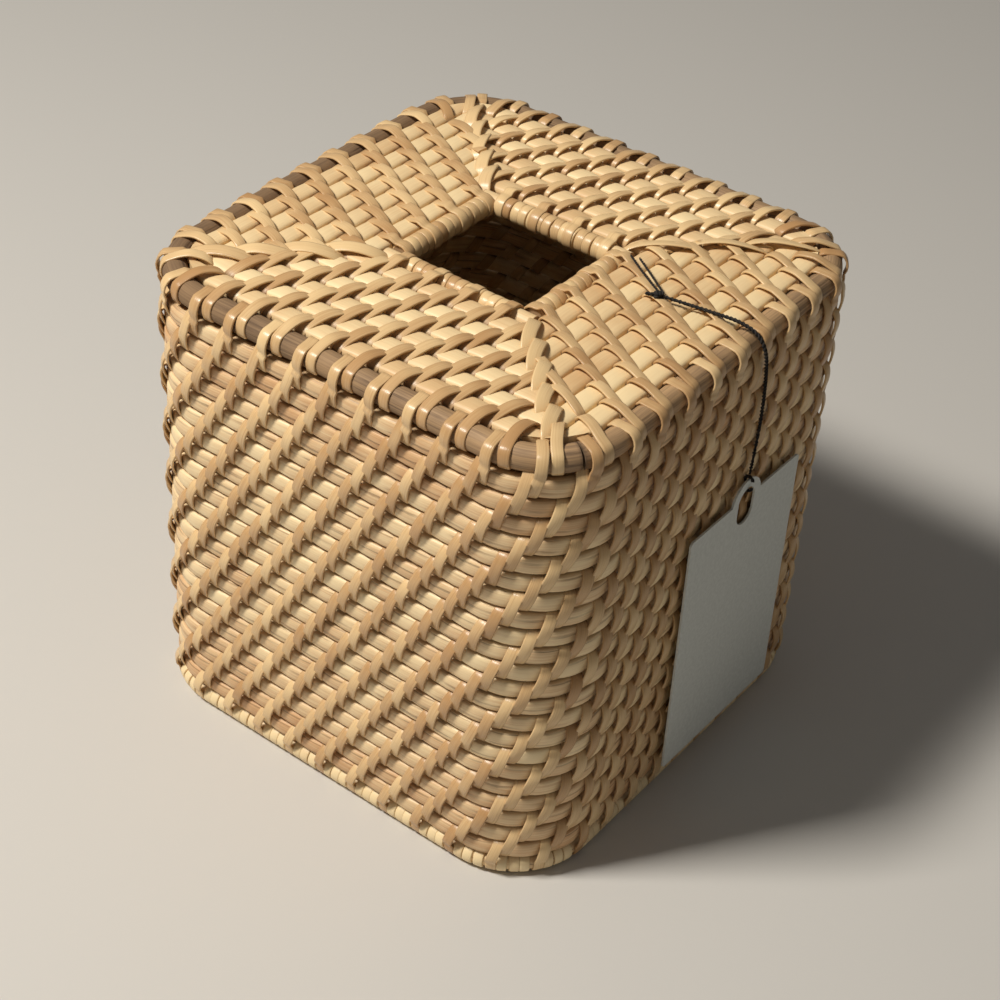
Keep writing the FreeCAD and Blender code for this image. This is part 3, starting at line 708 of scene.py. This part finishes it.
def place_on(rows, number):
    """Reach, level, facing and room at any point between the rows."""
    for before, after in zip(rows, rows[1:]):
        if number <= after[0]:
            share = (number - before[0]) / (after[0] - before[0])
            return [low + (high - low) * share for low, high in zip(before[1:], after[1:])]
    return list(rows[-1][1:])


def row_at(side, reach):
    """The row number on the top at some reach."""
    return EDGE_ROW + 0.5 + (EDGE_IN - reach) / top_pitch(side)


RIM_END = (-0.1, -0.9, 0.8)
BAR_END = (-0.15, -0.6, 0.9)
TURN_RATE = 3
RIM_HOLD = 1.3
BAR_HOLD = 1.5
EDGE_HOLD = 0.7
EDGE_EASE = 0.6
EDGE_LET_GO = 5.0


def strip_line(rows, strip, foot, middle, outward, sideways, centre_reach, tone):
    """Guide points of one strip. Hold keeps it on a rod's surface where it turns round the rod."""
    first = RIM_END[-strip % 3]
    edge_phase = (EDGE_ROW - strip) % 3
    count = max(2, int((foot - first) * ROW_STEPS))
    line = []
    for step in range(count + 1):
        row = first + (foot - first) * step / count
        reach, level, facing, room = place_on(rows, row)
        way = Vector((0, 0, math.cos(facing))) + outward * math.sin(facing)
        place = middle + outward * (reach - centre_reach) + Vector((0, 0, level))
        turned = 0.0
        if first < -0.5:
            turned = RIM_HOLD - row * TURN_RATE
        if foot > BAR_ROW:
            turned = max(turned, (row - BAR_ROW) * TURN_RATE + BAR_HOLD)
        if edge_phase:
            past = (row - EDGE_ROW) * (1 if edge_phase == 2 else -1)
            held = min(EDGE_HOLD + min(past, past * EDGE_EASE), (EDGE_HOLD - past) * EDGE_LET_GO)
            turned = max(turned, held)
        hold = max(0.0, min(1.0, turned))
        share = max(0.0, min(1.0, row - WALL_ROWS))
        lean = WALL_LEAN + (TOP_LEAN - WALL_LEAN) * share
        line.append((place, way, sideways, row, float(strip), room, hold, tone, lean))
    return line


VALUES = ("outward", "sideways", "row", "strip", "reach", "hold", "tone", "lean")
STRIP_INPUTS = {"Width": STRIP_WIDTH, "Thickness": STRIP_THICKNESS, "Tilt": STRIP_TILT, "Wander": 0.0006,
                "Material": peel}
for quarter, side in enumerate(SIDES):
    turn = quarter_turn(quarter)
    rows = weave_rows(side)
    lines = []
    for number in range(PER_SIDE):
        strip = quarter * PER_QUARTER + number
        shift = (number + 0.5) * STRIP_STEP - BEND_CENTRE
        foot = BAR_ROW + BAR_END[(BAR_ROW - strip) % 3]
        beside = neighbour(side)
        if abs(shift) > RIM_OUT[beside]:
            share = (abs(shift) - RIM_OUT[beside]) / (EDGE_IN - RIM_OUT[beside])
            foot = row_at(side, RIM_OUT[side] + share * (EDGE_IN - RIM_OUT[side]))
        lines.append(strip_line(rows, strip, foot, turn @ Vector((shift, 0, 0)), turn @ Vector((0, -1, 0)),
                                turn @ Vector((1, 0, 0)), 0.0, chance.random()))
    name = f"strips_{side}"
    piece = grown(name + "_peel", guide(name, lines, VALUES), twill, STRIP_INPUTS)
    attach(piece, "cover")
    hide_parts(name)

CORNER_FOOT = (0.0, 1.8, 0.8)
for quarter, corner in enumerate(CORNERS):
    turn = quarter_turn(quarter)
    rows = weave_rows("front")
    lines = []
    for number in range(PER_CORNER):
        strip = quarter * PER_QUARTER + PER_SIDE + number
        foot = EDGE_ROW + CORNER_FOOT[(EDGE_ROW - strip) % 3]
        fan = turn @ Matrix.Rotation((number + 0.5) / PER_CORNER * math.pi / 2, 3, "Z")
        lines.append(strip_line(rows, strip, foot, turn @ Vector((BEND_CENTRE, -BEND_CENTRE, 0)),
                                fan @ Vector((0, -1, 0)), fan @ Vector((1, 0, 0)), BEND_CENTRE,
                                chance.random()))
    name = f"corner_strips_{corner}"
    piece = grown(name + "_peel", guide(name, lines, VALUES), twill, STRIP_INPUTS)
    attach(piece, "cover")
    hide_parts(name)


# Wraps of the bottom rim: three turns of pale peeled rattan side by side on the rim's rod, between each
# two of the strips that turn under it.

RIM_BAND = 0.0028
RIM_FIRST = 2.68
RIM_STEP = 0.73
RIM_LEAN = 0.0003
RIM_TONES = (-0.5, 0.2)
rim_turns = []
for number in range(4 * PER_QUARTER):
    quarter, place_in = divmod(RIM_FIRST + number // 3 * 3 + number % 3 * RIM_STEP, PER_QUARTER)
    turn = quarter_turn(quarter)
    if place_in + 0.5 < PER_SIDE:
        middle = Vector(((place_in + 0.5) * STRIP_STEP - BEND_CENTRE, -RIM_MIDDLE, RIM_LEVEL))
        axis = Vector((1, 0, 0))
    else:
        angle = (place_in - PER_SIDE + 0.5) / PER_CORNER * math.pi / 2
        axis = Vector((math.cos(angle), math.sin(angle), 0))
        outward = Vector((math.sin(angle), -math.cos(angle), 0))
        middle = Vector((BEND_CENTRE, -BEND_CENTRE, RIM_LEVEL)) + outward * (RIM_MIDDLE - BEND_CENTRE)
    tone = chance.uniform(*RIM_TONES)
    lean = chance.uniform(-RIM_LEAN, RIM_LEAN)
    rim_turns.append(band(turn @ middle, turn @ axis, RIM_SIZE / 2 + WRAP_THICKNESS / 2, tone, lean))
rim_wraps = grown("bottom_rim_wraps", guide("bottom_rim_wraps", rim_turns, ROD_VALUES), rods,
                  {"Thickness": WRAP_THICKNESS, "Height": RIM_BAND, "Sides": 10, "Squareness": 0.5,
                   "Wander": 0.0002, "Material": smooth_wood})
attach(rim_wraps, "cover")


# Lashings: a chain of peel links along each diagonal of the top, each tucked under the next, that
# closes the mitre of two panels. The front left and back right chains have fewer, longer links.

LINK_COUNTS = (5, 3, 5, 4)
LINK_OVERLAP = 1.55
LINK_WIDTH = 0.0038
LINK_SKEW = 0.0018
LINK_FOOT = TOP_LEVEL
LINK_TOP = 0.1449
LINK_STEPS = 14
LINK_FULLNESS = 0.6
LINK_TIP = 0.25
LINK_SHORT = 0.002
LINK_TONES = (-0.2, 0.5)
CORNER_SIGNS = ((1, -1), (1, 1), (-1, 1), (-1, -1))

for quarter, corner in enumerate(CORNERS):
    right, back = CORNER_SIGNS[quarter]
    inner = Vector((right * RIM_OUT["right"], back * RIM_OUT["front"], 0))
    bend = BEND_CENTRE + (EDGE_IN - BEND_CENTRE) * math.sqrt(0.5) - LINK_SHORT
    outer = Vector((right * bend, back * bend, 0))
    run = outer - inner
    across = Vector((0, 0, 1)).cross(run).normalized()
    facing = (Vector((0, 0, 1)) + across * LINK_TIP).normalized()
    count = LINK_COUNTS[quarter]
    lines = []
    for link in range(count):
        tone = chance.uniform(*LINK_TONES)
        line = []
        for step in range(LINK_STEPS + 1):
            share = step / LINK_STEPS
            ahead = (link + (share - 0.5) * LINK_OVERLAP + 0.5) / count
            rise = math.sin(math.pi * share) ** LINK_FULLNESS
            place = inner + run * ahead + across * LINK_SKEW * math.cos(math.pi * share)
            place.z = LINK_FOOT + (LINK_TOP - LINK_FOOT) * rise
            line.append((place, facing, tone, 1.0, 0.0, 0.0))
        lines.append(line)
    name = f"lashing_{corner}"
    piece = grown(name + "_peel", guide(name, lines, ROD_VALUES), rods,
                  {"Thickness": STRIP_THICKNESS, "Height": LINK_WIDTH, "Sides": 10, "Squareness": 0.6,
                   "Wander": 0.0020, "Material": peel})
    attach(piece, "cover")
    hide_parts(name)


# Tag cord: black twisted twine. It leaves a knot beside the opening, lies across the top, goes over
# the edge and hangs down the right wall to the tag's loop.

CORD_DIAMETER = 0.0011
CORD_TWIST = 0.0024
PLY_SHARE = 0.6
PLY_SIDE = Vector((0.31, 0.95, 0.05))
CORD_STEPS = 24
CORD_ROUTE = [
    (0.0454, 0.0064, 0.1453), (0.0565, 0.0088, 0.1450), (0.0694, 0.0096, 0.1458), (0.0750, 0.0103, 0.1412),
    (0.0749, 0.0130, 0.1290), (0.0750, 0.0136, 0.1140), (0.0750, 0.0120, 0.0998),
]


def route_points(name, route, steps):
    """Points along a smooth curve that has a route's points as its control points."""
    curve = bpy.data.curves.new(name, "CURVE")
    curve.dimensions = "3D"
    spline = curve.splines.new("NURBS")
    spline.points.add(len(route) - 1)
    for point, place in zip(spline.points, route):
        point.co = (*place, 1.0)
    spline.order_u = 3
    spline.use_endpoint_u = True
    spline.resolution_u = steps
    holder = add(name, curve)
    graph = bpy.context.evaluated_depsgraph_get()
    mesh = bpy.data.meshes.new_from_object(holder.evaluated_get(graph), depsgraph=graph)
    points = [vertex.co.copy() for vertex in mesh.vertices]
    bpy.data.objects.remove(holder)
    return points


def twisted(points, diameter, twist):
    """Two strands laid round each other along points, as guide lines."""
    lines = [[], []]
    travelled = 0.0
    for number, point in enumerate(points):
        before = points[max(0, number - 1)]
        after = points[min(len(points) - 1, number + 1)]
        travelled += (point - before).length
        tangent = (after - before).normalized()
        beside = tangent.cross(PLY_SIDE).normalized()
        upward = tangent.cross(beside)
        for strand, line in enumerate(lines):
            angle = travelled / twist * math.tau + strand * math.pi
            outward = beside * math.cos(angle) + upward * math.sin(angle)
            line.append((point + outward * diameter / 4, outward, strand * 0.5, 1.0, 0.0, 0.0))
    return lines


def thread(name):
    """Black cotton, its fibres a fine noise along the strands."""
    material = bpy.data.materials.new(name)
    material.use_nodes = True
    tree = material.node_tree
    shader = tree.nodes["Principled BSDF"]
    start = Wire(tree)
    place = start.node("ShaderNodeCombineXYZ", None, {
        "X": read(start, "along") * 700.0, "Y": read(start, "section", "Vector").vector("LENGTH"),
        "Z": read(start, "tone") * 20.0})
    fibre = start.node("ShaderNodeTexNoise", None, {"Vector": place, "Scale": 1.0, "Detail": 3.0})
    colour = fibre.step(0.3, 0.75).mix(linear(18, 15, 14), linear(48, 42, 38))
    bump = start.node("ShaderNodeBump", None, {"Strength": 0.6, "Distance": 0.0001, "Height": fibre})
    tree.links.new(colour.socket, shader.inputs["Base Color"])
    tree.links.new(bump.socket, shader.inputs["Normal"])
    shader.inputs["Roughness"].default_value = 0.85
    return material


def twine(name, lines, diameter):
    ply = diameter * PLY_SHARE
    return grown(name, guide(name, lines, ROD_VALUES), rods,
                 {"Thickness": ply, "Height": ply, "Sides": 8, "Squareness": 1.0, "Wander": 0.0,
                  "Material": black_thread})


black_thread = thread("black thread")
cord_points = route_points("cord_line", CORD_ROUTE, CORD_STEPS)
tag_cord = twine("tag_twine", twisted(cord_points, CORD_DIAMETER, CORD_TWIST), CORD_DIAMETER)


# Strands: two thinner strands of black twine. They lie on the top from the knot to the rim of the
# opening, where they go into the weave.

STRAND_DIAMETER = 0.0007
STRAND_TWIST = 0.0022
STRAND_STEPS = 20
STRAND_ROUTES = [
    [(0.0268, 0.0184, 0.1446), (0.0347, 0.0125, 0.1450), (0.0430, 0.0074, 0.1454)],
    [(0.0294, 0.0188, 0.1446), (0.0362, 0.0139, 0.1450), (0.0437, 0.0080, 0.1455)],
]
for number, route in enumerate(STRAND_ROUTES, start=1):
    points = route_points(f"strand_line_{number}", route, STRAND_STEPS)
    strand = twine(f"strand_{number}", twisted(points, STRAND_DIAMETER, STRAND_TWIST), STRAND_DIAMETER)
    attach(strand, "cover")
    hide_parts(f"cord_strand_{number}")


# Knot: a trefoil of the cord, pulled tight, with a short end that stands out to one side. It ties the
# strands to the cord.

KNOT_STEPS = 60
KNOT_SCALE = 0.00036
KNOT_END = Vector((-0.0029, -0.0019, 0.0))
KNOT_END_STEPS = 8
knot_low, knot_high = (Vector(corner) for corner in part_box("cord_knot"))
knot_middle = (knot_low + knot_high) / 2
knot_points = []
for step in range(KNOT_STEPS + 1):
    angle = step / KNOT_STEPS * math.tau
    place = Vector((math.sin(angle) + 2 * math.sin(2 * angle), math.cos(angle) - 2 * math.cos(2 * angle),
                    -1.5 * math.sin(3 * angle)))
    knot_points.append(knot_middle + place * KNOT_SCALE)
end_points = [knot_middle + KNOT_END * step / KNOT_END_STEPS for step in range(KNOT_END_STEPS + 1)]
knot_lines = twisted(knot_points, CORD_DIAMETER, CORD_TWIST) + twisted(end_points, CORD_DIAMETER, CORD_TWIST)
knot = twine("twine_knot", knot_lines, CORD_DIAMETER)
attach(knot, "cover")
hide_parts("cord_knot")

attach(tag_cord, "cover")
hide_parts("tag_cord")


# Tag loop: a closed ring of black twine through the hole of the card. It turns at the cord's lower end,
# so that the card can swing out.

LOOP_CORD = 0.0010
LOOP_TWIST = 0.0026
LOOP_STEPS = 40
loop_low, loop_high = (Vector(corner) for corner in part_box("tag_loop"))
loop_middle = (loop_low + loop_high) / 2
loop_bend = (loop_high.x - loop_low.x - LOOP_CORD) / 2
loop_rise = (loop_high.z - loop_low.z - LOOP_CORD) / 2 - loop_bend
loop_points = []
for step in range(LOOP_STEPS + 1):
    angle = step / LOOP_STEPS * math.tau
    lift = loop_rise if math.sin(angle) >= 0 else -loop_rise
    place = Vector((loop_bend * math.cos(angle), 0, loop_bend * math.sin(angle) + lift))
    loop_points.append(loop_middle + place)
loop = twine("twine_loop", twisted(loop_points, LOOP_CORD, LOOP_TWIST), LOOP_CORD)
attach(loop, "loop")
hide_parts("tag_loop")


# Tag: a bare grey-white card with a rounded tab and an oval hole, cut from thin board and bowed a
# little. It hangs on its loop against the right wall.

TAG_LOW, TAG_HIGH = (Vector(corner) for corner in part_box("tag"))
TAB_RISE = 0.006
TAB_RADIUS = 0.007
HOLE_WIDTH = 0.008
HOLE_HEIGHT = 0.012
HOLE_BRIDGE = 0.0028
TAG_BOW = 0.0009
CORNER_ROUND = 0.0012
CARD_BANDS = 16


def arc(centre, radius, first, last, steps):
    """Points along part of a circle, in the tag's plane, angles in degrees."""
    angles = [math.radians(first + (last - first) * step / steps) for step in range(steps + 1)]
    return [(centre[0] + radius * math.cos(angle), centre[1] + radius * math.sin(angle)) for angle in angles]


def card_mesh():
    """The card's middle sheet: its outline and hole, filled and cut in bands so that it can bow."""
    middle = (TAG_LOW.y + TAG_HIGH.y) / 2
    shoulder = TAG_HIGH.z - TAB_RISE
    tab_level = TAG_HIGH.z - TAB_RADIUS
    tab_half = math.sqrt(TAB_RADIUS ** 2 - (shoulder - tab_level) ** 2)
    lean = math.degrees(math.atan2(shoulder - tab_level, tab_half))
    low, high = TAG_LOW.y + CORNER_ROUND, TAG_HIGH.y - CORNER_ROUND
    base = TAG_LOW.z + CORNER_ROUND
    top = shoulder - CORNER_ROUND
    outline = arc((high, base), CORNER_ROUND, -90, 0, 4) + arc((high, top), CORNER_ROUND, 0, 90, 4)
    outline += arc((middle, tab_level), TAB_RADIUS, lean, 180 - lean, 20)
    outline += arc((low, top), CORNER_ROUND, 90, 180, 4) + arc((low, base), CORNER_ROUND, 180, 270, 4)
    hole_top = TAG_HIGH.z - HOLE_BRIDGE - HOLE_WIDTH / 2
    hole_base = hole_top - (HOLE_HEIGHT - HOLE_WIDTH)
    hole = arc((middle, hole_top), HOLE_WIDTH / 2, 0, 180, 14)
    hole += arc((middle, hole_base), HOLE_WIDTH / 2, 180, 360, 14)
    build = bmesh.new()
    edges = []
    for loop_line in (outline, hole):
        points = [build.verts.new((0, y, z)) for y, z in loop_line]
        edges += [build.edges.new((points[number - 1], point)) for number, point in enumerate(points)]
    bmesh.ops.triangle_fill(build, edges=edges, use_beauty=True)
    for number in range(1, CARD_BANDS):
        level = TAG_LOW.z + (TAG_HIGH.z - TAG_LOW.z) * number / CARD_BANDS
        everything = build.verts[:] + build.edges[:] + build.faces[:]
        bmesh.ops.bisect_plane(build, geom=everything, plane_co=(0, 0, level), plane_no=(0, 0, 1))
    for point in build.verts:
        share = (point.co.z - TAG_LOW.z) / (TAG_HIGH.z - TAG_LOW.z)
        side = (point.co.y - middle) / (TAG_HIGH.y - middle)
        point.co.x = (TAG_LOW.x + TAG_HIGH.x) / 2 + TAG_BOW * (1 - share) * side ** 2
    bmesh.ops.recalc_face_normals(build, faces=build.faces[:])
    mesh = bpy.data.meshes.new("card")
    build.to_mesh(mesh)
    build.free()
    return mesh


def card_paint():
    material = bpy.data.materials.new("card")
    material.use_nodes = True
    tree = material.node_tree
    shader = tree.nodes["Principled BSDF"]
    start = Wire(tree)
    place = start.node("ShaderNodeTexCoord").other("Object")
    fibre = start.node("ShaderNodeTexNoise", None, {"Vector": place, "Scale": 900.0, "Detail": 3.0})
    colour = fibre.step(0.25, 0.8).mix(linear(200, 203, 198), linear(212, 215, 210))
    bump = start.node("ShaderNodeBump", None, {"Strength": 0.15, "Distance": 0.0001, "Height": fibre})
    tree.links.new(colour.socket, shader.inputs["Base Color"])
    tree.links.new(bump.socket, shader.inputs["Normal"])
    shader.inputs["Roughness"].default_value = 0.7
    return material


tag = add("tag_card", card_mesh())
tag.data.materials.append(card_paint())
thick = tag.modifiers.new("thickness", "SOLIDIFY")
thick.thickness = TAG_HIGH.x - TAG_LOW.x
thick.offset = 0.0
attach(tag, "tag")
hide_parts("tag")
